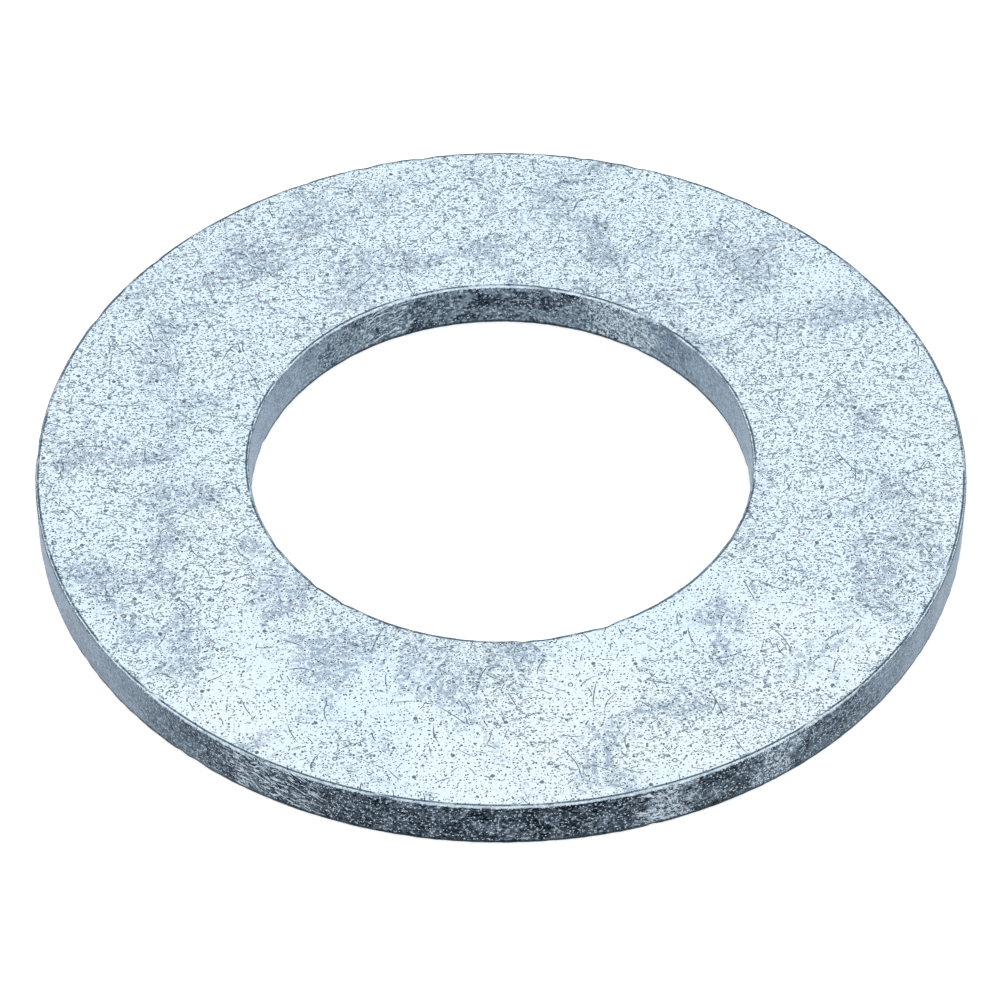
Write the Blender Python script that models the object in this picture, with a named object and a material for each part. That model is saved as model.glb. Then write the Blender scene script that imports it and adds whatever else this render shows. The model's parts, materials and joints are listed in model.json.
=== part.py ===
"""A zinc-plated steel flat washer for a 1-1/2 in bolt.

It is one stamped piece: a flat ring with a round hole. Lengths are in metres, +Z is up, and the
origin is the centre of the lower face, on the axis of the hole.
"""

import math

import bmesh
import bpy

# Driving dimensions: a narrow (type A) plain washer, 1-1/2 in size.
OUTER_DIAMETER = 0.0762
HOLE_DIAMETER = 0.041275
THICKNESS = 0.004191

# Corner radii of the ring's section. Blanking draws the upper edges in a little, and tumbling
# takes the burr off the lower ones.
DRAWN_IN_RADIUS = 0.00020
TUMBLED_RADIUS = 0.00015

RING_STEPS = 180
ARC_STEPS = 3
SHARP_ANGLE = math.radians(40)

ZINC_COLOR = (0.56, 0.62, 0.70, 1.0)
ZINC_ROUGHNESS = 0.42
ZINC_METALLIC = 0.9


def clear_scene():
    """Remove every object of the open file."""
    for obj in list(bpy.data.objects):
        bpy.data.objects.remove(obj, do_unlink=True)


def corner_arc(corner_x, corner_z, inward_x, inward_z, radius, first_angle):
    """Return the points of one rounded corner of the section, turning clockwise.

    inward_x and inward_z are +1 or -1 and point from the corner into the metal.
    """
    centre_x = corner_x + inward_x * radius
    centre_z = corner_z + inward_z * radius
    points = []
    for step in range(ARC_STEPS + 1):
        angle = first_angle - math.pi / 2 * step / ARC_STEPS
        points.append((centre_x + radius * math.cos(angle), 0.0, centre_z + radius * math.sin(angle)))
    return points


def ring_section():
    """Return the closed section at +X: down its outer side, in along the bottom, up the hole."""
    outer = OUTER_DIAMETER / 2
    inner = HOLE_DIAMETER / 2
    return (
        corner_arc(outer, THICKNESS, -1, -1, DRAWN_IN_RADIUS, math.pi / 2)
        + corner_arc(outer, 0.0, -1, 1, TUMBLED_RADIUS, 0.0)
        + corner_arc(inner, 0.0, 1, 1, TUMBLED_RADIUS, -math.pi / 2)
        + corner_arc(inner, THICKNESS, 1, -1, DRAWN_IN_RADIUS, math.pi)
    )


def zinc_plated_steel():
    """Return the washer's material: bright zinc plate with a pale blue cast."""
    material = bpy.data.materials.new("zinc_plated_steel")
    material.use_nodes = True
    shader = material.node_tree.nodes["Principled BSDF"]
    shader.inputs["Base Color"].default_value = ZINC_COLOR
    shader.inputs["Roughness"].default_value = ZINC_ROUGHNESS
    shader.inputs["Metallic"].default_value = ZINC_METALLIC
    return material


def add_washer():
    """Turn the section round the Z axis into the closed ring."""
    mesh = bpy.data.meshes.new("washer")
    shape = bmesh.new()
    section = [shape.verts.new(point) for point in ring_section()]
    outline = [shape.edges.new((section[i - 1], section[i])) for i in range(len(section))]
    bmesh.ops.spin(
        shape,
        geom=section + outline,
        cent=(0.0, 0.0, 0.0),
        axis=(0.0, 0.0, 1.0),
        angle=math.tau,
        steps=RING_STEPS,
        use_merge=True,
    )
    bmesh.ops.recalc_face_normals(shape, faces=shape.faces)
    shape.to_mesh(mesh)
    shape.free()
    mesh.shade_smooth()
    mesh.set_sharp_from_angle(angle=SHARP_ANGLE)
    mesh.materials.append(zinc_plated_steel())

    washer = bpy.data.objects.new("washer", mesh)
    bpy.context.collection.objects.link(washer)
    return washer


clear_scene()
add_washer()
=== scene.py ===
"""The looks of a zinc-coated flat washer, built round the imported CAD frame.

The washer is one stamped piece. It is modelled as it is made: a rectangular section with rounded
corners is turned into a ring, the sheared walls are torn, the edges are nicked, and the faces get
the slight waves of flattened plate. Three finishes dress it: the tumbled zinc face, the sheared rim
and the pierced hole. Lengths are in metres unless a name says otherwise.
"""

import json
import logging
import math
import random
from collections.abc import Callable, Iterator
from contextlib import contextmanager
from dataclasses import dataclass
from enum import Enum

import bmesh
import bpy
import numpy as np
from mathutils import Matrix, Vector

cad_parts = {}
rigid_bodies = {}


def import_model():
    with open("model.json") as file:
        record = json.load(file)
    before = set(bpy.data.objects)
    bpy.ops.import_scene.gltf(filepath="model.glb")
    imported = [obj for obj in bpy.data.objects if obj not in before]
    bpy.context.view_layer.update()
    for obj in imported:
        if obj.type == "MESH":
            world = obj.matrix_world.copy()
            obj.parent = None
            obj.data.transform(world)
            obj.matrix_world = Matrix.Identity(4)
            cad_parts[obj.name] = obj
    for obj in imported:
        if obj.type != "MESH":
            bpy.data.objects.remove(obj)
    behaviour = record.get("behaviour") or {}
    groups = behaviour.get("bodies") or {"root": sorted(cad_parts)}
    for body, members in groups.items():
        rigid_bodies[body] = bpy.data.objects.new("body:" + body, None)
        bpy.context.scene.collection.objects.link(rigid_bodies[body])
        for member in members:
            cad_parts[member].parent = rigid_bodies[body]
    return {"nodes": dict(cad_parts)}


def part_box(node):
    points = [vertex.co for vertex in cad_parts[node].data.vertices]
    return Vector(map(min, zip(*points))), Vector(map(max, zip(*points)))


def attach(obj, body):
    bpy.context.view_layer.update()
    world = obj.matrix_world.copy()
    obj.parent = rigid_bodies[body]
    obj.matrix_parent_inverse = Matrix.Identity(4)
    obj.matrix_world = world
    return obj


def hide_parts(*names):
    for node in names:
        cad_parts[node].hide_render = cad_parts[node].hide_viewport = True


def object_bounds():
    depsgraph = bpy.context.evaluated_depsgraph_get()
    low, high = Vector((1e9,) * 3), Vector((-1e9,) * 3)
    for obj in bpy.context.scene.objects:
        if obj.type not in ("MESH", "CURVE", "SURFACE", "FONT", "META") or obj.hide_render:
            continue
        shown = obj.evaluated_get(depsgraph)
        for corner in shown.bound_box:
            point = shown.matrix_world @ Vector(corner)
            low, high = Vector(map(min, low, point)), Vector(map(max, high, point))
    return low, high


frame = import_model()
CAD_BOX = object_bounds()

LOG = logging.getLogger("washer")

MM = 0.001
CAD_NODE = "washer"
WEIGHT_STEPS = 20
NICK_SEED = 7
SMOOTH_ANGLE = math.radians(50)
FACE_NORMAL_RISE = math.radians(50)
NOISE_MIDDLE = 0.5
WHITE = (1.0, 1.0, 1.0)

# The unrolled surface map, in metres. Each surface starts at its own place, well away from zero.
SURFACE_MAP = "unrolled"
FACE_MAP_START = 0.1
LOWER_FACE_MAP_START = 3 * FACE_MAP_START
RIM_MAP_START = 0.5
HOLE_MAP_START = 1.0
WALL_MAP_HEIGHT = 0.1

Socket = bpy.types.NodeSocket
Feed = Socket | float | tuple[float, ...]
Color = tuple[float, float, float]


# --- Editing helpers --------------------------------------------------------------------------


def deselect_all() -> None:
    """Leave nothing selected, so that an operator acts only on what is picked next."""
    for obj in bpy.context.view_layer.objects:
        obj.select_set(False)


def choose(piece: bpy.types.Object) -> None:
    """Make a piece the only one selected, and the active one.

    Args:
        piece: The object that the next operators act on.
    """
    deselect_all()
    piece.select_set(True)
    bpy.context.view_layer.objects.active = piece


@contextmanager
def editing(piece: bpy.types.Object) -> Iterator[None]:
    """Open a piece in edit mode in vertex mode, and close it again.

    Args:
        piece: The mesh object to edit.
    """
    choose(piece)
    bpy.ops.object.mode_set(mode="EDIT")
    bpy.ops.mesh.select_mode(type="VERT")
    yield
    bpy.ops.object.mode_set(mode="OBJECT")


def pick(piece: bpy.types.Object, test: Callable[[Vector], bool]) -> None:
    """Select the vertices that pass a test of their place, and the edges and faces between them.

    Args:
        piece: The mesh object, open in edit mode.
        test: Says whether a vertex at this place is wanted.
    """
    shape = bmesh.from_edit_mesh(piece.data)
    for vertex in shape.verts:
        vertex.select = test(vertex.co)
    shape.select_flush_mode()
    bmesh.update_edit_mesh(piece.data)


def apply_modifiers(piece: bpy.types.Object) -> None:
    """Apply a piece's modifiers, first to last.

    Args:
        piece: The mesh object.
    """
    choose(piece)
    for modifier in list(piece.modifiers):
        bpy.ops.object.modifier_apply(modifier=modifier.name)


def read_vectors(items: bpy.types.bpy_prop_collection, name: str) -> np.ndarray:
    """Read a vector property of many mesh items.

    Args:
        items: The mesh's vertices or polygons.
        name: The property, such as co or normal.

    Returns:
        One row of three numbers for each item.
    """
    values = np.empty(len(items) * 3)
    items.foreach_get(name, values)
    return values.reshape(-1, 3)


def paint_weights(piece: bpy.types.Object, name: str, weights: np.ndarray) -> None:
    """Paint a vertex group in steps of weight.

    Args:
        piece: The mesh object.
        name: The new group's name.
        weights: A weight from 0 to 1 for each vertex.
    """
    group = piece.vertex_groups.new(name=name)
    steps = np.round(weights * WEIGHT_STEPS).astype(int)
    for step in range(1, WEIGHT_STEPS + 1):
        chosen = np.nonzero(steps == step)[0].tolist()
        if chosen:
            group.add(chosen, step / WEIGHT_STEPS, "REPLACE")


# --- Node helpers -----------------------------------------------------------------------------


class NodeSheet:
    """Adds and links the nodes of one node tree."""

    def __init__(self, tree: bpy.types.NodeTree) -> None:
        """Keep the tree to work in.

        Args:
            tree: A material's, a world's or a group's node tree.
        """
        self.tree = tree

    def feed(self, socket: Socket, value: Feed) -> None:
        """Link a socket to an output, or set its value.

        Args:
            socket: The input to fill.
            value: An output socket, or a plain value.
        """
        if isinstance(value, bpy.types.NodeSocket):
            self.tree.links.new(value, socket)
        else:
            socket.default_value = value

    def node(self, kind: str, feeds: dict[str, Feed] | None = None, **settings: object) -> bpy.types.Node:
        """Add a node.

        Args:
            kind: The node's type without its ShaderNode prefix.
            feeds: What its named inputs take.
            settings: The node's own properties.

        Returns:
            The new node.
        """
        made = self.tree.nodes.new("ShaderNode" + kind)
        for name, value in settings.items():
            setattr(made, name, value)
        for name, value in (feeds or {}).items():
            self.feed(made.inputs[name], value)
        return made

    def math(self, operation: str, *feeds: Feed) -> Socket:
        """Add a Math node.

        Args:
            operation: The node's operation.
            feeds: What its inputs take, in order.

        Returns:
            Its value.
        """
        made = self.node("Math", operation=operation)
        for socket, value in zip(made.inputs, feeds):
            self.feed(socket, value)
        return made.outputs[0]

    def times(self, first: Feed, second: Feed) -> Socket:
        """Return the product of two numbers."""
        return self.math("MULTIPLY", first, second)

    def plus(self, first: Feed, second: Feed) -> Socket:
        """Return the sum of two numbers."""
        return self.math("ADD", first, second)

    def minus(self, first: Feed, second: Feed) -> Socket:
        """Return the first number less the second."""
        return self.math("SUBTRACT", first, second)

    def add_product(self, first: Feed, second: Feed, third: Feed) -> Socket:
        """Return the product of two numbers, plus a third."""
        return self.math("MULTIPLY_ADD", first, second, third)

    def most(self, first: Socket, *others: Socket) -> Socket:
        """Lay masks over each other.

        Args:
            first: The first mask.
            others: The masks to lay over it.

        Returns:
            The strongest of them at each place.
        """
        found = first
        for mask in others:
            found = self.math("MAXIMUM", found, mask)
        return found

    def size_of(self, value: Feed) -> Socket:
        """Return a number without its sign."""
        return self.math("ABSOLUTE", value)

    def vector(self, operation: str, first: Feed, second: Feed) -> Socket:
        """Add a Vector Math node.

        Args:
            operation: The node's operation.
            first: Its first vector.
            second: Its second vector.

        Returns:
            Its vector.
        """
        made = self.node("VectorMath", operation=operation)
        self.feed(made.inputs[0], first)
        self.feed(made.inputs[1], second)
        return made.outputs["Vector"]

    def scaled(self, vector: Feed, scale: Feed) -> Socket:
        """Multiply a vector by a number.

        Args:
            vector: The vector.
            scale: The number.

        Returns:
            The scaled vector.
        """
        made = self.node("VectorMath", operation="SCALE")
        self.feed(made.inputs[0], vector)
        self.feed(made.inputs["Scale"], scale)
        return made.outputs["Vector"]

    def turned(self, vector: Feed, angle: Feed) -> Socket:
        """Return a vector turned about Z by an angle."""
        feeds = {"Vector": vector, "Angle": angle}
        return self.node("VectorRotate", feeds, rotation_type="Z_AXIS").outputs["Vector"]

    def parts(self, vector: Feed) -> bpy.types.NodeOutputs:
        """Return a vector's X, Y and Z."""
        return self.node("SeparateXYZ", {"Vector": vector}).outputs

    def ramp(self, value: Feed, start: Feed, end: Feed, low: Feed = 0.0, high: Feed = 1.0) -> Socket:
        """Map a number by a smooth step.

        Args:
            value: The number to map.
            start: Where the step starts. It may be above its end.
            end: Where the step ends.
            low: The result at the start and before it.
            high: The result at the end and after it.

        Returns:
            The mapped number.
        """
        feeds = {"Value": value, "From Min": start, "From Max": end, "To Min": low, "To Max": high}
        return self.node("MapRange", feeds, interpolation_type="SMOOTHSTEP").outputs["Result"]

    def blend(self, factor: Feed, first: Feed, second: Feed) -> Socket:
        """Mix two colours.

        Args:
            factor: How much of the second colour shows, from 0 to 1.
            first: The colour underneath.
            second: The colour on top.

        Returns:
            The mixed colour.
        """
        made = self.node("Mix", data_type="RGBA")
        colors = [socket for socket in made.inputs if socket.type == "RGBA"]
        self.feed(made.inputs[0], factor)
        self.feed(colors[0], opaque(first))
        self.feed(colors[1], opaque(second))
        return next(socket for socket in made.outputs if socket.type == "RGBA")

    def noise(self, vector: Feed, size: Feed, detail: float = 2.0, roughness: float = 0.5,
              warp: float = 0.0) -> Socket:
        """Add fractal noise.

        Args:
            vector: The place.
            size: About how large its largest lumps are.
            detail: How many finer layers it has.
            roughness: How strong each finer layer is against the one before.
            warp: How much it is distorted.

        Returns:
            The noise, from 0 to 1 about a middle of 0.5.
        """
        feeds = {"Vector": vector, "Scale": self.inverse(size), "Detail": detail,
                 "Roughness": roughness, "Distortion": warp}
        return self.node("TexNoise", feeds, noise_dimensions="3D").outputs["Fac"]

    def cells(self, vector: Feed, spacing: Feed) -> tuple[bpy.types.NodeOutputs, Socket]:
        """Scatter points over a surface.

        Args:
            vector: The place on the surface.
            spacing: How far apart the points are.

        Returns:
            The outputs for the nearest point, and a number drawn at random for it.
        """
        found = self.node("TexVoronoi", {"Vector": vector, "Scale": self.inverse(spacing)},
                          voronoi_dimensions="2D", feature="F1").outputs
        return found, self.node("RGBToBW", {"Color": found["Color"]}).outputs[0]

    def inverse(self, size: Feed) -> Feed:
        """Turn a size into what a texture calls its scale.

        Args:
            size: A length, fed or plain.

        Returns:
            One over the length.
        """
        if isinstance(size, bpy.types.NodeSocket):
            return self.math("DIVIDE", 1.0, size)
        return 1.0 / size


def opaque(color: Feed) -> Feed:
    """Give a plain colour full alpha.

    Args:
        color: A socket, or a colour of three numbers.

    Returns:
        The socket as it is, or a colour of four numbers.
    """
    if isinstance(color, tuple) and len(color) == 3:
        return (*color, 1.0)
    return color


class EffectGroup:
    """A shader node group with named inputs and outputs, which each material places with its own values."""

    def __init__(self, name: str, inputs: dict[str, float | None], outputs: tuple[str, ...]) -> None:
        """Make the empty group.

        Args:
            name: The group's name.
            inputs: Each input's name and default, or None for a vector.
            outputs: The names of its masks and heights.
        """
        self.tree = bpy.data.node_groups.new(name, "ShaderNodeTree")
        for title, default in inputs.items():
            kind = "NodeSocketVector" if default is None else "NodeSocketFloat"
            socket = self.tree.interface.new_socket(title, in_out="INPUT", socket_type=kind)
            if default is not None:
                socket.default_value = default
        for title in outputs:
            self.tree.interface.new_socket(title, in_out="OUTPUT", socket_type="NodeSocketFloat")
        self.sheet = NodeSheet(self.tree)
        self.given = self.tree.nodes.new("NodeGroupInput").outputs
        self.result = self.tree.nodes.new("NodeGroupOutput").inputs

    def put(self, sheet: NodeSheet, feeds: dict[str, Feed]) -> bpy.types.NodeOutputs:
        """Place the group in a material.

        Args:
            sheet: The material's nodes.
            feeds: What the group's inputs take there.

        Returns:
            The placed group's outputs.
        """
        placed = sheet.tree.nodes.new("ShaderNodeGroup")
        placed.node_tree = self.tree
        for name, value in feeds.items():
            sheet.feed(placed.inputs[name], value)
        return placed.outputs


# --- Effects shared by the finishes -----------------------------------------------------------


def cloud_group() -> EffectGroup:
    """Make soft cloudy patches of passivated zinc, with a ragged, grainy border and a mottled inside.

    Returns:
        The group. A patch lies where the noise is above Level, and Softness is how far its border fades.
    """
    group = EffectGroup("cloudy_patches", {"Vector": None, "Size": 5.0 * MM, "Level": 0.55, "Softness": 0.12},
                        ("Patches",))
    sheet, given = group.sheet, group.given
    raggedness = 0.35
    lumps = sheet.noise(given["Vector"], given["Size"], detail=6.0, roughness=0.66, warp=0.6)
    grain = sheet.noise(given["Vector"], 0.5 * MM, detail=2.0, roughness=0.7)
    ragged = sheet.plus(lumps, sheet.times(sheet.minus(grain, NOISE_MIDDLE), raggedness))
    inside = sheet.plus(given["Level"], given["Softness"])
    mottled = sheet.ramp(grain, start=0.4, end=0.56, low=0.2)
    patches = sheet.times(sheet.ramp(ragged, given["Level"], inside), mottled)
    sheet.feed(group.result["Patches"], patches)
    return group


def pit_group() -> EffectGroup:
    """Make scattered round pits of mixed sizes.

    Returns:
        The group: Pits is a filled mask, and Lips the rings round them. Radius is the largest pit's, and
        Share says how many places hold one. A stretch above one draws each pit out along its slant.
    """
    group = EffectGroup("pits", {"Vector": None, "Spacing": 0.6 * MM, "Radius": 0.1 * MM, "Share": 0.5,
                                 "Slant": 0.0, "Stretch": 1.0}, ("Pits", "Lips"))
    sheet, given = group.sheet, group.given
    no_pit = 0.001
    size_spread = 0.2
    turned = sheet.turned(given["Vector"], given["Slant"])
    squeeze = sheet.node("CombineXYZ", {"X": sheet.inverse(given["Stretch"]), "Y": 1.0}).outputs[0]
    nearest, drawn = sheet.cells(sheet.vector("MULTIPLY", turned, squeeze), given["Spacing"])
    size = sheet.ramp(drawn, given["Share"], sheet.minus(given["Share"], size_spread), low=no_pit)
    reach = sheet.math("DIVIDE", sheet.times(nearest["Distance"], given["Spacing"]),
                       sheet.times(given["Radius"], size))
    from_lip = sheet.size_of(sheet.minus(reach, 1.0))
    sheet.feed(group.result["Pits"], sheet.ramp(reach, start=1.0, end=0.5))
    sheet.feed(group.result["Lips"], sheet.ramp(from_lip, start=0.35, end=0.1))
    return group


def scratch_group() -> EffectGroup:
    """Make scattered scratches, each with its own length, bow and direction within the swing about X.

    Returns:
        The group. Half Length and Half Width are the largest scratch's, Bow is the most that one curves,
        and Share says how many places hold one.
    """
    group = EffectGroup("strokes", {"Vector": None, "Spacing": 2.0 * MM, "Half Length": 0.8 * MM,
                                    "Half Width": 0.05 * MM, "Bow": 200.0, "Share": 0.5,
                                    "Swing": math.tau}, ("Strokes",))
    sheet, given = group.sheet, group.given
    second_draw = 17.0
    bow_draw = 90.0
    nearest, drawn = sheet.cells(given["Vector"], given["Spacing"])
    away = sheet.parts(sheet.vector("SUBTRACT", given["Vector"], nearest["Position"]))
    redrawn = sheet.math("FRACT", sheet.times(drawn, second_draw))
    turn = sheet.times(sheet.minus(redrawn, 0.5), given["Swing"])
    cosine, sine = sheet.math("COSINE", turn), sheet.math("SINE", turn)
    along = sheet.add_product(away["X"], cosine, sheet.times(away["Y"], sine))
    straight = sheet.minus(sheet.times(away["Y"], cosine), sheet.times(away["X"], sine))
    bow = sheet.times(sheet.math("SINE", sheet.times(drawn, bow_draw)), given["Bow"])
    across = sheet.add_product(bow, sheet.times(along, along), straight)
    thin = sheet.ramp(sheet.math("DIVIDE", sheet.size_of(across), given["Half Width"]), start=1.0, end=0.4)
    longest = sheet.add_product(redrawn, 0.5, 0.5)
    short = sheet.ramp(sheet.math("DIVIDE", sheet.size_of(along), given["Half Length"]), longest, end=0.3)
    there = sheet.math("LESS_THAN", drawn, given["Share"])
    sheet.feed(group.result["Strokes"], sheet.times(there, sheet.times(thin, short)))
    return group


def crease_group() -> EffectGroup:
    """Make short winding creases, drawn out sideways, as broken contour lines of a fine noise.

    Returns:
        The group. Width is a crease's, in steps of the noise, and Amount says how little they are broken.
    """
    group = EffectGroup("creases", {"Vector": None, "Size": 0.6 * MM, "Width": 0.03, "Amount": 0.5},
                        ("Creases",))
    sheet, given = group.sheet, group.given
    sideways = (0.6, 1.0, 1.0)
    shift = (0.31, 0.17, 0.05)
    sharpness = 0.35
    break_size = 0.7
    break_softness = 0.06
    hills = sheet.noise(sheet.vector("MULTIPLY", given["Vector"], sideways), given["Size"],
                        detail=1.0, roughness=0.4, warp=0.8)
    line = sheet.ramp(sheet.size_of(sheet.minus(hills, NOISE_MIDDLE)), given["Width"],
                      sheet.times(given["Width"], sharpness))
    breaks = sheet.noise(sheet.vector("ADD", given["Vector"], shift), sheet.times(given["Size"], break_size),
                         detail=1.0)
    floor = sheet.minus(1.0, given["Amount"])
    broken = sheet.ramp(breaks, floor, sheet.plus(floor, break_softness))
    sheet.feed(group.result["Creases"], sheet.times(line, broken))
    return group


def furrow_group() -> EffectGroup:
    """Make the flowing furrows that the punch drags along a sheared wall.

    Returns:
        The group. Length and Width are a furrow's, and Slant its angle to the wall's length.
    """
    group = EffectGroup("drag_marks", {"Vector": None, "Slant": 0.4, "Length": 2.0 * MM, "Width": 0.2 * MM},
                        ("Furrows",))
    sheet, given = group.sheet, group.given
    bend_size = 1.6 * MM
    bend_reach = 1.3 * MM
    bends = sheet.node("TexNoise", {"Vector": given["Vector"], "Scale": 1.0 / bend_size, "Detail": 2.0})
    bent = sheet.vector("ADD", given["Vector"], sheet.scaled(bends.outputs["Color"], bend_reach))
    place = sheet.parts(sheet.turned(bent, given["Slant"]))
    drawn_out = sheet.node("CombineXYZ", {"X": sheet.math("DIVIDE", place["X"], given["Length"]),
                                          "Y": sheet.math("DIVIDE", place["Y"], given["Width"])}).outputs[0]
    sheet.feed(group.result["Furrows"], sheet.noise(drawn_out, 1.0, detail=2.0, roughness=0.55))
    return group


def stretch_group() -> EffectGroup:
    """Make a ragged stretch of a wall, centred at an arc length and shifted by given lumps.

    Returns:
        The group.
    """
    group = EffectGroup("wall_stretch", {"Arc": 0.0, "Lumps": 0.5, "Centre": 0.0, "Half Width": 3.0 * MM},
                        ("Stretch",))
    sheet, given = group.sheet, group.given
    raggedness = 6.0 * MM
    away = sheet.size_of(sheet.minus(given["Arc"], given["Centre"]))
    ragged = sheet.add_product(sheet.minus(given["Lumps"], NOISE_MIDDLE), raggedness, away)
    inside = sheet.times(given["Half Width"], 0.5)
    sheet.feed(group.result["Stretch"], sheet.ramp(ragged, given["Half Width"], inside))
    return group


def edge_group() -> EffectGroup:
    """Make the masks that follow the ring's edges: a polished corner, and painted highlight and shade.

    Returns:
        The group: Band is the corner that tumbling has polished, and on the walls it is also painted pale as
            a
        highlight; the line is a broken painted dark line inside it on the faces, standing in for the corner's
        dark reflection; and the foot is painted shade along the foot of the walls. Reach is the band's width.
    """
    group = EffectGroup("edge_band", {"Vector": None, "Outer Radius": 38.0 * MM, "Hole Radius": 20.0 * MM,
                                      "Thickness": 4.0 * MM, "Reach": 0.4 * MM, "Corner": 0.3 * MM},
                        ("Band", "Line", "Painted Foot Shade"))
    sheet, given = group.sheet, group.given
    corner = given["Corner"]
    line_place, line_border, line_inside = 1.15, 0.6, 0.25
    foot_top, foot_full = 2.1, 1.3
    place = sheet.parts(given["Vector"])
    radius = sheet.math("SQRT", sheet.plus(sheet.times(place["X"], place["X"]),
                                           sheet.times(place["Y"], place["Y"])))
    from_rim = sheet.size_of(sheet.minus(given["Outer Radius"], radius))
    from_hole = sheet.size_of(sheet.minus(radius, given["Hole Radius"]))
    from_wall = sheet.math("MINIMUM", from_rim, from_hole)
    from_top = sheet.size_of(sheet.minus(given["Thickness"], place["Z"]))
    from_face = sheet.math("MINIMUM", from_top, sheet.size_of(place["Z"]))
    away = sheet.math("DIVIDE", sheet.plus(from_wall, from_face), given["Reach"])
    sheet.feed(group.result["Band"], sheet.ramp(away, start=1.0, end=0.3))
    # Painted shade: a broken dark line just inside the corner on the faces, standing in for the corner's dark
    # reflection.
    off_line = sheet.size_of(sheet.minus(from_wall, sheet.times(corner, line_place)))
    line = sheet.ramp(off_line, sheet.times(corner, line_border), sheet.times(corner, line_inside))
    gaps = sheet.noise(given["Vector"], 4.0 * MM, detail=4.0, roughness=0.7)
    broken = sheet.ramp(gaps, start=0.36, end=0.5, low=0.25)
    sheet.feed(group.result["Line"], sheet.times(line, broken))
    # Painted shade: the walls are painted darker towards their foot, where they meet the floor.
    sheet.feed(group.result["Painted Foot Shade"], sheet.ramp(place["Z"], sheet.times(corner, foot_top),
                                                sheet.times(corner, foot_full)))
    return group


@dataclass(frozen=True)
class Effects:
    """The node groups that the finishes share."""

    clouds: EffectGroup
    pits: EffectGroup
    scratches: EffectGroup
    creases: EffectGroup
    furrows: EffectGroup
    stretches: EffectGroup
    edges: EffectGroup

    @classmethod
    def make(cls) -> "Effects":
        """Build each group once.

        Returns:
            The groups.
        """
        return cls(cloud_group(), pit_group(), scratch_group(), crease_group(), furrow_group(),
                   stretch_group(), edge_group())


# --- Finishes ---------------------------------------------------------------------------------


@dataclass(frozen=True)
class Pits:
    """Pits of one kind: their spacing, largest radius and share of the places, and how drawn out they are."""

    spacing: float
    radius: float
    share: float = 0.5
    slant: float = 0.0
    stretch: float = 1.0


@dataclass(frozen=True)
class Scratches:
    """Scratches of one kind: their spacing, largest size and bow, and share of the places."""

    spacing: float
    half_length: float
    half_width: float
    bow: float
    share: float


@dataclass(frozen=True)
class Stretch:
    """A stretch of wall: its bearing from the wall's seen side, in degrees, and its half width."""

    bearing: float
    half_width: float


@dataclass(frozen=True)
class Surface:
    """What a finish's nodes work on: the material's sheet, the shared groups and the unrolled place."""

    sheet: NodeSheet
    effects: Effects
    place: Feed

    def noise(self, size: float, detail: float = 2.0, roughness: float = 0.5, warp: float = 0.0) -> Socket:
        """Add fractal noise over the surface: see NodeSheet.noise."""
        return self.sheet.noise(self.place, size, detail, roughness, warp)

    def clouds(self, size: float, level: float, softness: float) -> Socket:
        """Spread cloudy patches over the surface.

        Args:
            size: About how large the clouds are.
            level: The noise above which a patch lies.
            softness: How far its border fades.

        Returns:
            A mask of the patches.
        """
        feeds = {"Vector": self.place, "Size": size, "Level": level, "Softness": softness}
        return self.effects.clouds.put(self.sheet, feeds)["Patches"]

    def pits(self, kind: Pits, share: Feed | None = None) -> bpy.types.NodeOutputs:
        """Scatter pits over the surface.

        Args:
            kind: The kind of pit.
            share: The share of the places, in place of the kind's own.

        Returns:
            The pits and their lips.
        """
        feeds = {"Vector": self.place, "Spacing": kind.spacing, "Radius": kind.radius, "Slant": kind.slant,
                 "Stretch": kind.stretch, "Share": kind.share if share is None else share}
        return self.effects.pits.put(self.sheet, feeds)

    def scratches(self, kind: Scratches) -> Socket:
        """Scatter scratches over the surface.

        Args:
            kind: The kind of scratch.

        Returns:
            A mask of the scratches.
        """
        feeds = {"Vector": self.place, "Spacing": kind.spacing, "Half Length": kind.half_length,
                 "Half Width": kind.half_width, "Bow": kind.bow, "Share": kind.share}
        return self.effects.scratches.put(self.sheet, feeds)["Strokes"]


@dataclass(frozen=True)
class Coat:
    """What a finish's nodes give the shader: its colour, dullness, metal share and height."""

    color: Socket
    dullness: Socket
    metal: Socket
    height: Socket


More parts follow.
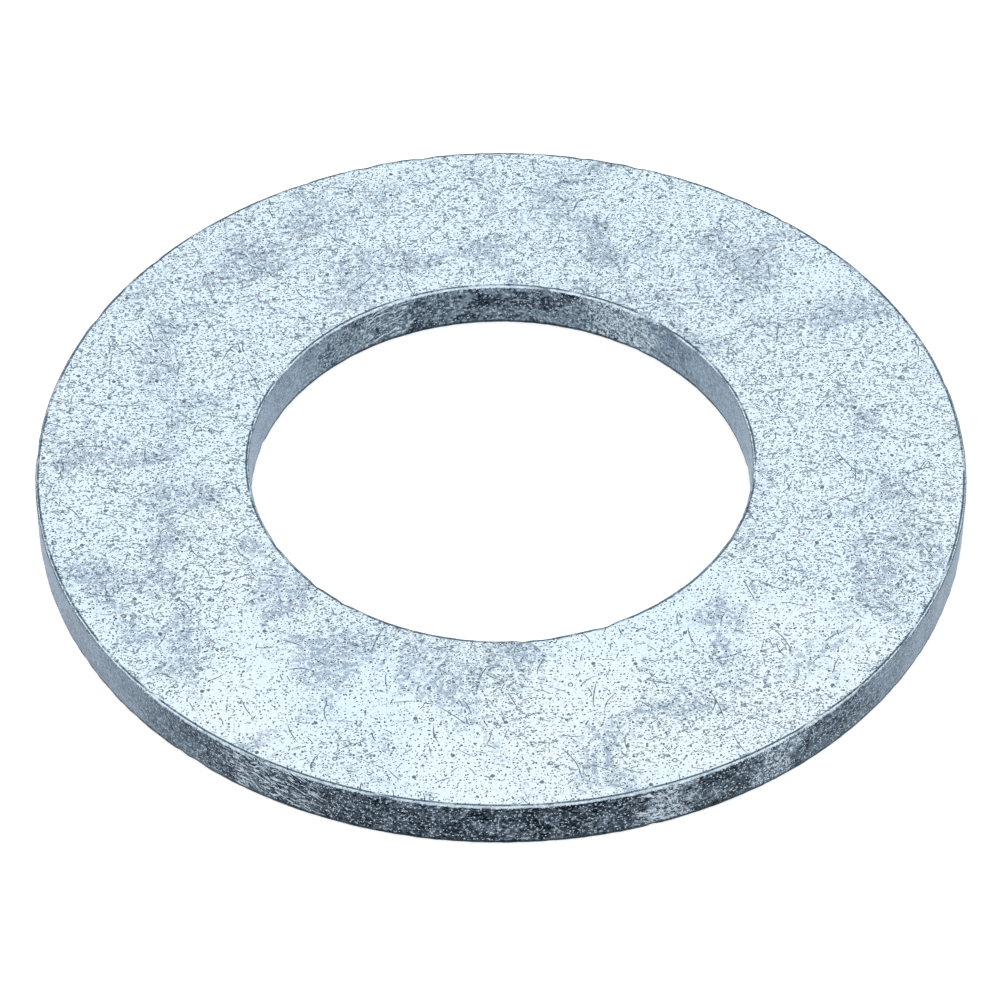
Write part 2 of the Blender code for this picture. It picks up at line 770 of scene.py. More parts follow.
@dataclass(frozen=True)
class ZincFinish:
    """Bright zinc over steel. Colours are linear, and depths are how far a mark goes into the metal."""

    name: str
    pale_and_highlight: Color
    patch: Color
    mark_and_shade: Color
    smooth: float
    rough: float
    painted_edge_line: float
    painted_edge_highlight: float
    painted_foot_shade: float

    def material(self, effects: Effects, ring: "WasherRing") -> bpy.types.Material:
        """Make the finish's material.

        Args:
            effects: The shared node groups.
            ring: The washer, for the sizes of its edge band.

        Returns:
            The new material.
        """
        band_width = 0.24 * MM
        band_polish = 0.12
        band_flattening = 0.9
        made = bpy.data.materials.new(self.name)
        made.use_nodes = True
        sheet = NodeSheet(made.node_tree)
        shader = made.node_tree.nodes["Principled BSDF"]
        unrolled = sheet.node("UVMap", uv_map=SURFACE_MAP).outputs["UV"]
        coat = self.coat(Surface(sheet, effects, unrolled))
        place = sheet.node("TexCoord").outputs["Object"]
        edges = effects.edges.put(sheet, {"Vector": place, "Outer Radius": ring.outer_radius,
                                          "Hole Radius": ring.hole_radius, "Thickness": ring.thickness,
                                          "Reach": band_width, "Corner": ring.drawn_in})
        # Painted highlight: on the walls the polished corner band is painted pale, standing in for the
        # corner's bright reflection.
        edge_highlighted = sheet.blend(sheet.times(edges["Band"], self.painted_edge_highlight), coat.color, self.pale_and_highlight)
        # Painted shade: a dark line inside the corner on the faces and a dark foot on the walls are painted
        # in the dark colour.
        painted_shade_lines = sheet.most(sheet.times(edges["Line"], self.painted_edge_line), sheet.times(edges["Painted Foot Shade"], self.painted_foot_shade))
        sheet.feed(shader.inputs["Base Color"], sheet.blend(painted_shade_lines, edge_highlighted, self.mark_and_shade))
        polished = sheet.times(edges["Band"], band_polish)
        sheet.feed(shader.inputs["Roughness"], sheet.minus(coat.dullness, polished))
        sheet.feed(shader.inputs["Metallic"], coat.metal)
        height = sheet.times(coat.height, sheet.add_product(edges["Band"], -band_flattening, 1.0))
        bump = sheet.node("Bump", {"Height": height, "Strength": 1.0, "Distance": 1.0})
        sheet.feed(shader.inputs["Normal"], bump.outputs["Normal"])
        return made

    def coat(self, surface: Surface) -> Coat:
        """Add the finish's own nodes.

        Args:
            surface: What the nodes work on.

        Returns:
            What the shader takes.
        """
        raise NotImplementedError


@dataclass(frozen=True)
class FaceFinish(ZincFinish):
    """The tumbled face: near white, with grey-blue clouds, dots, creases and bowed scratches.

    Its tone turns cooler in places at random; towards its back the cooler, a little darker tone is a painted
    shade, and more of the face is worked. A pair of numbers is a mark's amount where the face is plain, and
    where it is worked.
    """

    cool: Color
    painted_lip_highlight: Color
    worked_size: float
    cool_size: float
    grain_size: float
    patch_size: float
    patch_level: float
    patch_softness: float
    crease_size: float
    crease_width: float
    crease_amount: tuple[float, float]
    dash_share: tuple[float, float]
    pit_depth: float
    crease_depth: float
    scratch_depth: float
    grain_depth: float
    painted_lip_highlight_show: float
    pit_show: float
    crease_show: float
    scratch_show: float
    rings: Pits
    pits: tuple[Pits, ...]
    dashes: tuple[Pits, ...]
    scratches: tuple[Scratches, ...]

    def coat(self, surface: Surface) -> Coat:
        """Add the face's nodes.

        Args:
            surface: What the nodes work on.

        Returns:
            What the shader takes.
        """
        sheet = surface.sheet
        across = sheet.parts(surface.place)["Y"]
        more_worked = sheet.ramp(across, FACE_MAP_START - 30.0 * MM, FACE_MAP_START + 5.0 * MM, high=0.16)
        # Painted shade: towards the back the cooler, darker tone takes more of the face.
        painted_back_shade = sheet.ramp(across, FACE_MAP_START - 25.0 * MM, FACE_MAP_START + 30.0 * MM, high=0.75)
        worked = sheet.ramp(sheet.plus(surface.noise(self.worked_size), more_worked), start=0.4, end=0.62)
        wide = surface.noise(self.cool_size)
        grain = surface.noise(self.grain_size, roughness=0.7)
        patches = surface.clouds(self.patch_size, self.patch_level, self.patch_softness)
        pitted, pit_lip_highlights = self._pitted(surface)
        creased, crease_lip_highlights = self._creased(surface, worked)
        scratched = sheet.most(*[surface.scratches(kind) for kind in self.scratches])

        # The cool tone comes at random, and towards the back as painted shade.
        cool_tone_and_back_shade = sheet.ramp(wide, start=0.38, end=0.64, low=painted_back_shade, high=0.85)
        tint = sheet.blend(cool_tone_and_back_shade, self.pale_and_highlight, self.cool)
        tint = sheet.blend(sheet.ramp(grain, start=0.62, end=0.3, high=0.42), tint, self.patch)
        tint = sheet.blend(patches, tint, self.patch)
        # Painted highlight: the lips round the pits and dashes are painted near white.
        tint = sheet.blend(sheet.times(sheet.most(pit_lip_highlights, crease_lip_highlights), self.painted_lip_highlight_show), tint, self.painted_lip_highlight)
        marks = sheet.most(sheet.times(creased, self.crease_show), sheet.times(pitted, self.pit_show),
                           sheet.times(scratched, self.scratch_show))
        tint = sheet.blend(marks, tint, self.mark_and_shade)

        grain_dullness = 0.25
        clean_metal, patch_metal = 0.82, 0.6
        dull = sheet.ramp(patches, 0.0, 1.0, self.smooth, self.rough)
        dull = sheet.plus(dull, sheet.times(sheet.minus(grain, NOISE_MIDDLE), grain_dullness))
        metal = sheet.ramp(patches, 0.0, 1.0, clean_metal, patch_metal)
        depth = sheet.times(pitted, -self.pit_depth)
        depth = sheet.plus(depth, sheet.times(creased, -self.crease_depth))
        depth = sheet.plus(depth, sheet.times(scratched, -self.scratch_depth))
        depth = sheet.plus(depth, sheet.times(grain, self.grain_depth))
        return Coat(tint, dull, metal, depth)

    def _pitted(self, surface: Surface) -> tuple[Socket, Socket]:
        """Scatter pits of each size, and small rings.

        Args:
            surface: What the nodes work on.

        Returns:
            A mask of the pits and rings, and one of the pits' lips, which are painted as highlights.
        """
        rings = surface.pits(self.rings)["Lips"]
        placed = [surface.pits(kind) for kind in self.pits]
        return (surface.sheet.most(rings, *[each["Pits"] for each in placed]),
                surface.sheet.most(*[each["Lips"] for each in placed]))

    def _creased(self, surface: Surface, worked: Socket) -> tuple[Socket, Socket]:
        """Wrinkle the zinc with short dashes and winding creases, most where the face is worked.

        Args:
            surface: What the nodes work on.
            worked: A mask of the worked places.

        Returns:
            A mask of the creases and dashes, and one of the dashes' lips, which are painted as highlights.
        """
        sheet = surface.sheet
        amount = sheet.ramp(worked, 0.0, 1.0, *self.crease_amount)
        feeds = {"Vector": surface.place, "Size": self.crease_size, "Width": self.crease_width,
                 "Amount": amount}
        winding = surface.effects.creases.put(sheet, feeds)["Creases"]
        share = sheet.ramp(worked, 0.0, 1.0, *self.dash_share)
        placed = [surface.pits(kind, share) for kind in self.dashes]
        return (sheet.most(winding, *[each["Pits"] for each in placed]),
                sheet.most(*[each["Lips"] for each in placed]))


@dataclass(frozen=True)
class WallFinish(ZincFinish):
    """A sheared wall: dark bright-drawn metal, with dull mottles, raised specks painted pale as glints, and
    dragged stretches.

    Whitened stretches hold more of the painted glints. Where the wall faces sideways, the calm stretches are
    painted paler and plainer, standing in for the even reflection there.
    """

    matte: Color
    painted_sheen_tone: Color
    radius: float
    map_start: float
    mottle_level: float
    dark_level: float
    speck_share: float
    torn_depth: float
    fine_depth: float
    speck_depth: float
    drag_depth: float
    drags: tuple[Stretch, ...]
    whitened: tuple[Stretch, ...]
    painted_sheen_ends: tuple[Stretch, ...]
    lump_size: float = 1.8 * MM
    mottle_size: float = 1.7 * MM
    dark_size: float = 2.6 * MM
    torn_size: float = 0.34 * MM
    fine_size: float = 0.27 * MM
    furrow_slant: float = 0.22
    furrow_length: float = 1.2 * MM
    furrow_width: float = 0.18 * MM
    specks: Pits = Pits(spacing=0.27 * MM, radius=0.076 * MM)
    whitened_speck_share: float = 0.8
    pits: Pits = Pits(spacing=0.37 * MM, radius=0.08 * MM)
    pit_show: float = 0.7
    scratches: Scratches = Scratches(2.6 * MM, 1.2 * MM, 0.06 * MM, bow=260.0, share=0.48)
    scratch_show: float = 0.6
    painted_sheen_plainness: float = 0.68

    def coat(self, surface: Surface) -> Coat:
        """Add the wall's nodes.

        Args:
            surface: What the nodes work on.

        Returns:
            What the shader takes.
        """
        sheet = surface.sheet
        arc = sheet.parts(surface.place)["X"]
        lumps = surface.noise(self.lump_size, detail=3.0)
        dragged, whitened, painted_sheen_ends = [self._stretches(surface, arc, lumps, stretches)
                                   for stretches in (self.drags, self.whitened, self.painted_sheen_ends)]
        mottles = surface.clouds(self.mottle_size, self.mottle_level, softness=0.1)
        dark = surface.clouds(self.dark_size, self.dark_level, softness=0.16)
        torn = surface.noise(self.torn_size, detail=3.0, roughness=0.65, warp=0.4)
        fine = surface.noise(self.fine_size, detail=1.0, roughness=0.6)
        feeds = {"Vector": surface.place, "Slant": self.furrow_slant, "Length": self.furrow_length,
                 "Width": self.furrow_width}
        furrows = surface.effects.furrows.put(sheet, feeds)["Furrows"]
        # Painted highlight: the raised specks are painted pale as glints, more of them in the whitened
        # stretches.
        share = sheet.ramp(whitened, 0.0, 1.0, self.speck_share, self.whitened_speck_share)
        specks = surface.pits(self.specks, share)["Pits"]
        pits = surface.pits(self.pits)["Pits"]
        scratched = surface.scratches(self.scratches)

        # Painted sheen: where the wall faces sideways its marks fade, standing in for the even reflection
        # there.
        off_painted_sheen = sheet.add_product(painted_sheen_ends, -self.painted_sheen_plainness, 1.0)
        # Painted highlight, besides the wall's own pale marks: the furrows' bright sides and the specks are
        # painted pale, with pale scratches, whitened stretches and grain.
        light = sheet.most(
            sheet.times(dragged, sheet.ramp(furrows, start=0.53, end=0.61, high=0.9)),
            specks,
            sheet.times(scratched, self.scratch_show),
            sheet.times(whitened, sheet.ramp(torn, start=0.5, end=0.58, low=0.08, high=0.85)),
            sheet.ramp(fine, start=0.58, end=0.66, high=0.6),
        )
        # Painted shade, besides the wall's own dark marks: the furrows' other sides are painted dark, with
        # pits and grain.
        shade = sheet.most(
            sheet.times(dragged, sheet.ramp(furrows, start=0.46, end=0.36, high=0.7)),
            sheet.times(pits, self.pit_show),
            sheet.ramp(fine, start=0.45, end=0.36, high=0.8),
        )
        light, shade, mottles, dark = [sheet.times(mask, off_painted_sheen) for mask in (light, shade, mottles, dark)]
        # Painted sheen: the wall is painted paler where it faces sideways.
        tint = sheet.blend(painted_sheen_ends, self.patch, self.painted_sheen_tone)
        for mask, color in ((dark, self.mark_and_shade), (mottles, self.matte), (shade, self.mark_and_shade), (light, self.pale_and_highlight)):
            tint = sheet.blend(mask, tint, color)

        light_plainness, mottle_plainness = 0.75, 0.8
        dull = sheet.ramp(mottles, 0.0, 1.0, self.smooth, self.rough)
        plain = sheet.most(sheet.times(light, light_plainness), sheet.times(mottles, mottle_plainness))
        depth = sheet.times(sheet.minus(torn, NOISE_MIDDLE), self.torn_depth)
        depth = sheet.add_product(fine, self.fine_depth, depth)
        depth = sheet.add_product(specks, self.speck_depth, depth)
        depth = sheet.add_product(pits, -self.speck_depth, depth)
        furrowed = sheet.times(sheet.times(dragged, furrows), self.drag_depth)
        return Coat(tint, dull, sheet.minus(1.0, plain), sheet.plus(depth, furrowed))

    def _stretches(self, surface: Surface, arc: Socket, lumps: Socket,
                   stretches: tuple[Stretch, ...]) -> Socket:
        """Find the places in the given stretches of the wall.

        Args:
            surface: What the nodes work on.
            arc: The length along the wall.
            lumps: The noise that makes the stretches' ends ragged.
            stretches: The stretches.

        Returns:
            A mask of them all.
        """
        found = []
        for stretch in stretches:
            centre = self.map_start + self.radius * math.radians(stretch.bearing)
            feeds = {"Arc": arc, "Lumps": lumps, "Centre": centre, "Half Width": stretch.half_width}
            found.append(surface.effects.stretches.put(surface.sheet, feeds)["Stretch"])
        return surface.sheet.most(*found)


ZINC_FACE = FaceFinish(
    name="tumbled_zinc_face",
    pale_and_highlight=(0.815, 0.905, 0.93),
    patch=(0.35, 0.44, 0.55),
    mark_and_shade=(0.014, 0.055, 0.1),
    cool=(0.725, 0.88, 0.99),
    painted_lip_highlight=(0.93, 0.99, 1.0),
    smooth=0.32,
    rough=0.5,
    painted_edge_line=0.88,
    painted_edge_highlight=0.0,
    painted_foot_shade=0.0,
    worked_size=13.0 * MM,
    cool_size=19.0 * MM,
    grain_size=0.2 * MM,
    patch_size=7.5 * MM,
    patch_level=0.51,
    patch_softness=0.13,
    crease_size=0.62 * MM,
    crease_width=0.05,
    crease_amount=(0.34, 0.5),
    dash_share=(0.36, 0.68),
    pit_depth=0.022 * MM,
    crease_depth=0.018 * MM,
    scratch_depth=0.02 * MM,
    grain_depth=0.012 * MM,
    painted_lip_highlight_show=0.8,
    pit_show=0.85,
    crease_show=0.68,
    scratch_show=0.85,
    rings=Pits(spacing=3.9 * MM, radius=0.17 * MM, share=0.45),
    pits=(
        Pits(spacing=0.42 * MM, radius=0.1 * MM, share=0.54),
        Pits(spacing=0.29 * MM, radius=0.066 * MM, share=0.54),
        Pits(spacing=1.1 * MM, radius=0.14 * MM),
        Pits(spacing=3.2 * MM, radius=0.23 * MM),
    ),
    dashes=(
        Pits(spacing=0.24 * MM, radius=0.055 * MM, slant=0.3, stretch=3.0),
        Pits(spacing=0.29 * MM, radius=0.06 * MM, slant=-0.7, stretch=2.4),
    ),
    scratches=(
        Scratches(1.6 * MM, 0.7 * MM, 0.045 * MM, bow=420.0, share=0.5),
        Scratches(3.4 * MM, 1.5 * MM, 0.05 * MM, bow=240.0, share=0.52),
        Scratches(7.0 * MM, 2.6 * MM, 0.05 * MM, bow=110.0, share=0.5),
    ),
)
SHEARED_RIM = WallFinish(
    name="sheared_zinc_rim",
    pale_and_highlight=(0.74, 0.86, 0.94),
    patch=(0.26, 0.34, 0.42),
    mark_and_shade=(0.026, 0.04, 0.058),
    matte=(0.155, 0.21, 0.265),
    painted_sheen_tone=(0.47, 0.56, 0.65),
    smooth=0.24,
    rough=0.42,
    painted_edge_line=0.5,
    painted_edge_highlight=0.75,
    painted_foot_shade=0.95,
    radius=38.1 * MM,
    map_start=RIM_MAP_START,
    mottle_level=0.52,
    dark_level=0.4,
    speck_share=0.45,
    torn_depth=0.14 * MM,
    fine_depth=0.06 * MM,
    speck_depth=0.05 * MM,
    drag_depth=0.16 * MM,
    drags=(Stretch(-28.0, 6.0 * MM), Stretch(19.0, 3.0 * MM), Stretch(118.0, 8.0 * MM),
           Stretch(-140.0, 7.0 * MM)),
    whitened=(Stretch(20.0, 2.2 * MM), Stretch(34.0, 2.8 * MM), Stretch(-165.0, 3.0 * MM)),
    painted_sheen_ends=(Stretch(-76.0, 29.0 * MM), Stretch(78.0, 24.0 * MM)),
)
PIERCED_HOLE = WallFinish(
    name="pierced_zinc_hole",
    pale_and_highlight=(0.80, 0.92, 1.0),
    patch=(0.40, 0.51, 0.61),
    mark_and_shade=(0.034, 0.055, 0.083),
    matte=(0.215, 0.285, 0.35),
    painted_sheen_tone=(0.48, 0.58, 0.68),
    smooth=0.26,
    rough=0.42,
    painted_edge_line=0.5,
    painted_edge_highlight=0.75,
    painted_foot_shade=0.95,
    radius=20.64 * MM,
    map_start=HOLE_MAP_START,
    mottle_level=0.46,
    dark_level=0.44,
    speck_share=0.35,
    torn_depth=0.12 * MM,
    fine_depth=0.05 * MM,
    speck_depth=0.045 * MM,
    drag_depth=0.16 * MM,
    drags=(Stretch(29.0, 3.2 * MM), Stretch(150.0, 5.0 * MM)),
    whitened=(Stretch(-30.0, 4.0 * MM), Stretch(-145.0, 3.0 * MM)),
    painted_sheen_ends=(Stretch(80.0, 13.7 * MM), Stretch(-76.0, 14.0 * MM)),
)


class Region(Enum):
    """The washer's surfaces, each with the number of its material slot."""

    FACE = 0
    RIM = 1
    HOLE = 2


# --- The washer -------------------------------------------------------------------------------


@dataclass
class Relief:
    """Cloudy relief pressed into part of a surface."""

    name: str
    lump_size: float
    detail: int
    depth: float
    weights: np.ndarray

    def add(self, piece: bpy.types.Object) -> None:
        """Add the relief to a piece as a Displace modifier.

        Args:
            piece: The mesh object.
        """
        clouds = bpy.data.textures.new(self.name, "CLOUDS")
        clouds.noise_scale = self.lump_size
        clouds.noise_depth = self.detail
        paint_weights(piece, self.name, self.weights)
        press = piece.modifiers.new(self.name, "DISPLACE")
        press.texture = clouds
        press.texture_coords = "LOCAL"
        press.vertex_group = self.name
        press.mid_level = 0.5
        press.strength = self.depth


@dataclass
class WasherRing:
    """The washer's one body: a flat ring, blanked and pierced from plate."""

    outer_radius: float
    hole_radius: float
    thickness: float
    drawn_in: float = 0.20 * MM
    tumbled: float = 0.15 * MM
    corner_steps: int = 3
    turns: int = 960
    upper_rows: int = 54
    lower_rows: int = 12
    wall_rows: int = 11
    wave_depth: float = 0.045 * MM
    torn_depth: float = 0.07 * MM
    ragged_depth: float = 0.07 * MM
    nicks: int = 70
    nick_depth: float = 0.13 * MM
    nick_reach_mm: tuple[float, float] = (0.35, 0.8)
    nick_strength: tuple[float, float] = (0.4, 1.0)

    @classmethod
    def from_frame(cls) -> "WasherRing":
        """Take the ring's sizes from its CAD node.

        Returns:
            The washer, not yet built.
        """
        low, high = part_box(CAD_NODE)
        bore = min(math.hypot(v.co.x, v.co.y) for v in frame["nodes"][CAD_NODE].data.vertices)
        return cls(outer_radius=(high.x - low.x) / 2, hole_radius=bore, thickness=high.z - low.z)

    def build(self, effects: Effects) -> bpy.types.Object:
        """Model, dress and hang the washer on the frame.

        Args:
            effects: The node groups that its finishes share.

        Returns:
            The finished piece.
        """
        piece = self._section()
        self._round_corners(piece)
        self._divide(piece)
        self._turn(piece)
        self._wear(piece)
        self._map(piece)
        self._dress(piece, effects)
        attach(piece, "root")
        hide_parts(CAD_NODE)
        return piece

    def _section(self) -> bpy.types.Object:
        """Add the ring's rectangular section at +X, standing in the XZ plane.

        Returns:
            The piece, as one flat face.
        """
        deselect_all()
        middle = (self.outer_radius + self.hole_radius) / 2
        width = self.outer_radius - self.hole_radius
        bpy.ops.mesh.primitive_plane_add(size=1.0, location=(middle, 0.0, self.thickness / 2),
                                         rotation=(math.pi / 2, 0.0, 0.0))
        piece = bpy.context.object
        piece.scale = (width, self.thickness, 1.0)
        bpy.ops.object.transform_apply(location=True, rotation=True, scale=True)
        piece.name = piece.data.name = "washer_ring"
        return piece

    def _round_corners(self, piece: bpy.types.Object) -> None:
        """Round the upper corners as drawn in by the punch, and the lower ones as tumbled.

        Args:
            piece: The section.
        """
        half = self.thickness / 2
        with editing(piece):
            pick(piece, lambda place: place.z > half)
            bpy.ops.mesh.bevel(offset=self.drawn_in, segments=self.corner_steps, affect="VERTICES")
            pick(piece, lambda place: place.z < self.tumbled / 2)
            bpy.ops.mesh.bevel(offset=self.tumbled, segments=self.corner_steps, affect="VERTICES")

    def _divide(self, piece: bpy.types.Object) -> None:
        """Cut the section's four straight sides into rows, leaving its outline only.

        Args:
            piece: The rounded section.
        """
        near = 0.01 * MM
        sides = (
            (lambda place: place.z > self.thickness - near, self.upper_rows),
            (lambda place: place.z < near, self.lower_rows),
            (lambda place: place.x > self.outer_radius - near, self.wall_rows),
            (lambda place: place.x < self.hole_radius + near, self.wall_rows),
        )
        with editing(piece):
            bpy.ops.mesh.select_all(action="SELECT")
            bpy.ops.mesh.delete(type="ONLY_FACE")
            for on_side, rows in sides:
                pick(piece, on_side)
                bpy.ops.mesh.subdivide(number_cuts=rows - 1)

    def _turn(self, piece: bpy.types.Object) -> None:
        """Turn the outline once round the hole's axis and close the ring.

        Args:
            piece: The section's outline.
        """
        turn = piece.modifiers.new("turn", "SCREW")
        turn.angle = math.tau
        turn.steps = turn.render_steps = self.turns
        turn.use_merge_vertices = True
        turn.merge_threshold = 0.002 * MM
        apply_modifiers(piece)
        with editing(piece):
            bpy.ops.mesh.select_all(action="SELECT")
            bpy.ops.mesh.normals_make_consistent(inside=False)

    def _wear(self, piece: bpy.types.Object) -> None:
        """Wave the faces, tear the walls below the shear, and nick the edges.

        The waves start a little way in from the edges, the tearing fades towards the upper face, and the
        ragged edge is a narrow band round each corner.

        Args:
            piece: The ring.
        """
        wave_fade, wave_margin = 2.0 * MM, 0.3
        wall_depth = 0.1 * MM
        shear_start, least_torn = 1.3, 0.25
        edge_reach, edge_strength = 0.45 * MM, 1.4
        places = read_vectors(piece.data.vertices, "co")
        radius, height = np.hypot(places[:, 0], places[:, 1]), places[:, 2]
        depth = np.minimum(self.outer_radius - radius, radius - self.hole_radius)
        on_face = np.clip(depth / wave_fade - wave_margin, 0.0, 1.0)
        on_wall = np.clip(1.0 - depth / wall_depth, 0.0, 1.0)
        torn = on_wall * np.clip(shear_start - height / self.thickness, least_torn, 1.0)
        from_edge = depth + np.minimum(height, self.thickness - height)
        edge = np.clip(edge_strength - from_edge / edge_reach, 0.0, 1.0)
        reliefs = (
            Relief("plate_waves", lump_size=9.0 * MM, detail=2, depth=self.wave_depth, weights=on_face),
            Relief("torn_wall", lump_size=1.3 * MM, detail=3, depth=self.torn_depth, weights=torn),
            Relief("ragged_edge", lump_size=0.9 * MM, detail=2, depth=self.ragged_depth, weights=edge),
        )
        for relief in reliefs:
            relief.add(piece)
        self._nick(piece, places, edge)
        apply_modifiers(piece)

    def _nick(self, piece: bpy.types.Object, places: np.ndarray, edge: np.ndarray) -> None:
        """Dent the edges at places drawn at random, the rim's and the upper ones more than the others.

        Args:
            piece: The ring.
            places: Its vertices.
            edge: How near each vertex is to an edge, from 0 to 1.
        """
        draw = random.Random(NICK_SEED)
        dents = np.zeros(len(places))
        for _ in range(self.nicks):
            turn = draw.uniform(0.0, math.tau)
            radius = draw.choice((self.outer_radius, self.outer_radius, self.hole_radius))
            height = draw.choice((self.thickness, self.thickness, 0.0))
            middle = np.array((radius * math.cos(turn), radius * math.sin(turn), height))
            reach = draw.uniform(*self.nick_reach_mm) * MM
            away = np.linalg.norm(places - middle, axis=1) / reach
            dents = np.maximum(dents, draw.uniform(*self.nick_strength) * np.exp(-away * away))
        paint_weights(piece, "nicks", dents * edge)
        nick = piece.modifiers.new("nicks", "DISPLACE")
        nick.vertex_group = "nicks"
        nick.direction = "NORMAL"
        nick.mid_level = 0.0
        nick.strength = -self.nick_depth

    def _map(self, piece: bpy.types.Object) -> None:
        """Unroll the surface into a map in metres: faces as they lie, walls by arc and height.

        Each wall's map is cut where the other surfaces hide it from the front: behind the rim, and at
        the near side of the hole.

        Args:
            piece: The turned ring.
        """
        mesh = piece.data
        places = read_vectors(mesh.vertices, "co")
        middles = read_vectors(mesh.polygons, "center")
        normals = read_vectors(mesh.polygons, "normal")
        corners = np.empty(len(mesh.loops), np.int64)
        mesh.loops.foreach_get("vertex_index", corners)
        sizes = np.empty(len(mesh.polygons), np.int64)
        mesh.polygons.foreach_get("loop_total", sizes)

        flat = np.abs(normals[:, 2]) > math.sin(FACE_NORMAL_RISE)
        outside = np.hypot(middles[:, 0], middles[:, 1]) > (self.outer_radius + self.hole_radius) / 2
        region = np.where(flat, Region.FACE.value, np.where(outside, Region.RIM.value, Region.HOLE.value))
        mesh.polygons.foreach_set("material_index", region.astype(np.int32))

        place, region = places[corners], np.repeat(region, sizes)
        middle, normal = np.repeat(middles, sizes, axis=0), np.repeat(normals, sizes, axis=0)
        on_rim = region == Region.RIM.value
        seen_side = np.where(on_rim, 1.0, -1.0)
        turn = np.arctan2(seen_side * place[:, 0], -seen_side * place[:, 1])
        middle_turn = np.arctan2(seen_side * middle[:, 0], -seen_side * middle[:, 1])
        turn -= math.tau * np.round((turn - middle_turn) / math.tau)
        radius = np.where(on_rim, self.outer_radius, self.hole_radius)
        start = np.where(on_rim, RIM_MAP_START, HOLE_MAP_START)
        on_wall = np.stack([start + radius * turn, place[:, 2] + WALL_MAP_HEIGHT], axis=1)
        on_face = place[:, :2] + np.where(normal[:, 2:] > 0, FACE_MAP_START, LOWER_FACE_MAP_START)
        unrolled = np.where(region[:, None] == Region.FACE.value, on_face, on_wall)
        layer = mesh.uv_layers.new(name=SURFACE_MAP)
        layer.data.foreach_set("uv", unrolled.astype(np.float32).ravel())

    def _dress(self, piece: bpy.types.Object, effects: Effects) -> None:
        """Give each surface its finish and shade the piece smooth.

        Args:
            piece: The mapped ring.
            effects: The shared node groups.
        """
        for finish in (ZINC_FACE, SHEARED_RIM, PIERCED_HOLE):
            piece.data.materials.append(finish.material(effects, self))
        choose(piece)
        bpy.ops.object.shade_smooth_by_angle(angle=SMOOTH_ANGLE)


# --- Studio -----------------------------------------------------------------------------------


@dataclass(frozen=True)
class StudioCamera:
    """The view: from the front, half-way up, through a long lens."""

    distance: float = 0.3808
    elevation: float = math.radians(44.8)
    aim_drop: float = 2.085 * MM
    side_step: float = -0.075 * MM
    lens_mm: float = 166.54
    sensor_mm: float = 36.0
    nearest: float = 0.01

    def build(self, subject: Vector) -> bpy.types.Object:
        """Add the camera and make it the scene's.

        Args:
            subject: The washer's middle.

        Returns:
            The camera.
        """
        back = Vector((0.0, -math.cos(self.elevation), math.sin(self.elevation)))
        up = Vector((0.0, math.sin(self.elevation), math.cos(self.elevation)))
        aim = subject - up * self.aim_drop + Vector((self.side_step, 0.0, 0.0))
        data = bpy.data.cameras.new("studio_camera")
        data.lens = self.lens_mm
        data.sensor_width = self.sensor_mm
        data.clip_start = self.nearest
        camera = bpy.data.objects.new("studio_camera", data)
        bpy.context.scene.collection.objects.link(camera)
        camera.location = subject + back * self.distance
        camera.rotation_mode = "QUATERNION"
        camera.rotation_quaternion = (aim - camera.location).to_track_quat("-Z", "Y")
        bpy.context.scene.camera = camera
        return camera


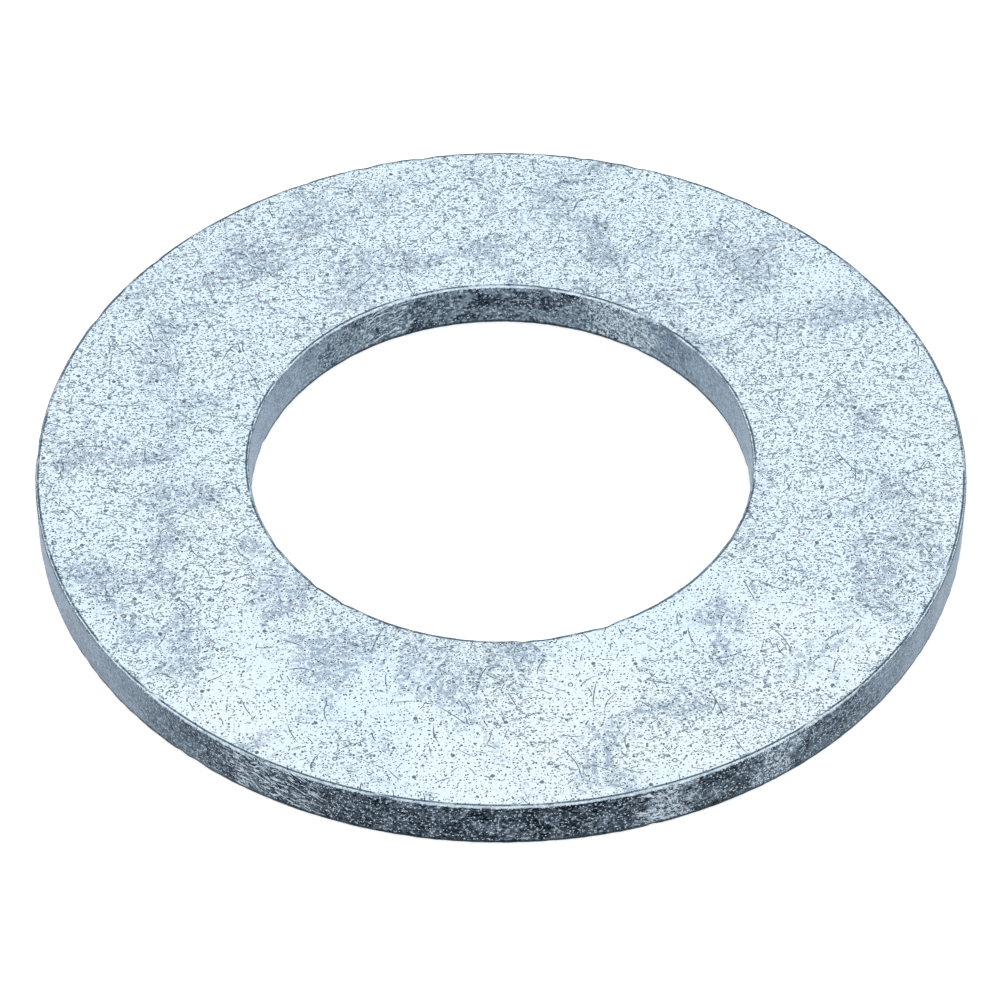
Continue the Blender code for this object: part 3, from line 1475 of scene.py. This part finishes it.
@dataclass(frozen=True)
class StudioRoom:
    """A pale floor under a soft dome, dark below it at the front and along the horizon behind."""

    floor_size: float = 6.0
    floor_gap: float = 0.02 * MM
    floor_tone: Color = (0.9, 0.9, 0.9)
    floor_glow: float = 0.45
    zenith: Color = (0.80, 0.84, 0.88)
    upper: Color = (1.19, 1.225, 1.25)
    lower_front: Color = (0.030, 0.040, 0.055)
    lower_back: Color = (0.65, 0.72, 0.79)
    horizon: Color = (0.03, 0.04, 0.055)

    def build(self) -> bpy.types.Object:
        """Add the floor and the dome of light.

        Returns:
            The floor.
        """
        floor = self._floor()
        self._dome()
        bpy.context.scene.view_settings.view_transform = "Standard"
        return floor

    def _floor(self) -> bpy.types.Object:
        """Add the floor, which only the camera and diffuse light see.

        Returns:
            The floor.
        """
        deselect_all()
        bpy.ops.mesh.primitive_plane_add(size=self.floor_size, location=(0.0, 0.0, -self.floor_gap))
        floor = bpy.context.object
        floor.name = floor.data.name = "floor"
        floor.visible_glossy = False
        paper = bpy.data.materials.new("pale_floor")
        paper.use_nodes = True
        shader = paper.node_tree.nodes["Principled BSDF"]
        shader.inputs["Base Color"].default_value = opaque(self.floor_tone)
        shader.inputs["Roughness"].default_value = 1.0
        shader.inputs["Specular IOR Level"].default_value = 0.0
        shader.inputs["Emission Color"].default_value = opaque(WHITE)
        shader.inputs["Emission Strength"].default_value = self.floor_glow
        floor.data.materials.append(paper)
        return floor

    def _dome(self) -> None:
        """Light the room from all round. The camera sees plain white in its place."""
        world = bpy.data.worlds.new("soft_dome")
        world.use_nodes = True
        bpy.context.scene.world = world
        sheet = NodeSheet(world.node_tree)
        background = world.node_tree.nodes["Background"]
        way = sheet.parts(sheet.node("TexCoord").outputs["Generated"])
        lower = sheet.blend(sheet.ramp(way["Y"], start=-0.72, end=0.15), self.lower_front, self.lower_back)
        dome = sheet.blend(sheet.ramp(way["Z"], start=-0.12, end=0.3), lower, self.upper)
        dome = sheet.blend(sheet.ramp(way["Z"], start=0.84, end=0.99), dome, self.zenith)
        level = sheet.ramp(sheet.size_of(way["Z"]), start=0.4, end=0.18)
        behind = sheet.ramp(way["Y"], start=-0.4, end=0.1, high=0.9)
        dome = sheet.blend(sheet.times(level, behind), dome, self.horizon)
        seen = sheet.node("LightPath").outputs["Is Camera Ray"]
        sheet.feed(background.inputs["Color"], sheet.blend(seen, dome, WHITE))
        background.inputs["Strength"].default_value = 1.0


def main() -> None:
    """Build the camera, the washer and the studio, and report each."""
    logging.basicConfig(level=logging.INFO, format="%(name)s: %(message)s")
    low, high = CAD_BOX
    camera = StudioCamera().build((low + high) / 2)
    LOG.info("%s at %s", camera.name, [round(value, 4) for value in camera.location])
    ring = WasherRing.from_frame()
    piece = ring.build(Effects.make())
    LOG.info("%s: %d faces", piece.name, len(piece.data.polygons))
    floor = StudioRoom().build()
    LOG.info("%s under the washer, in the dome's light", floor.name)


if __name__ == "__main__":
    main()
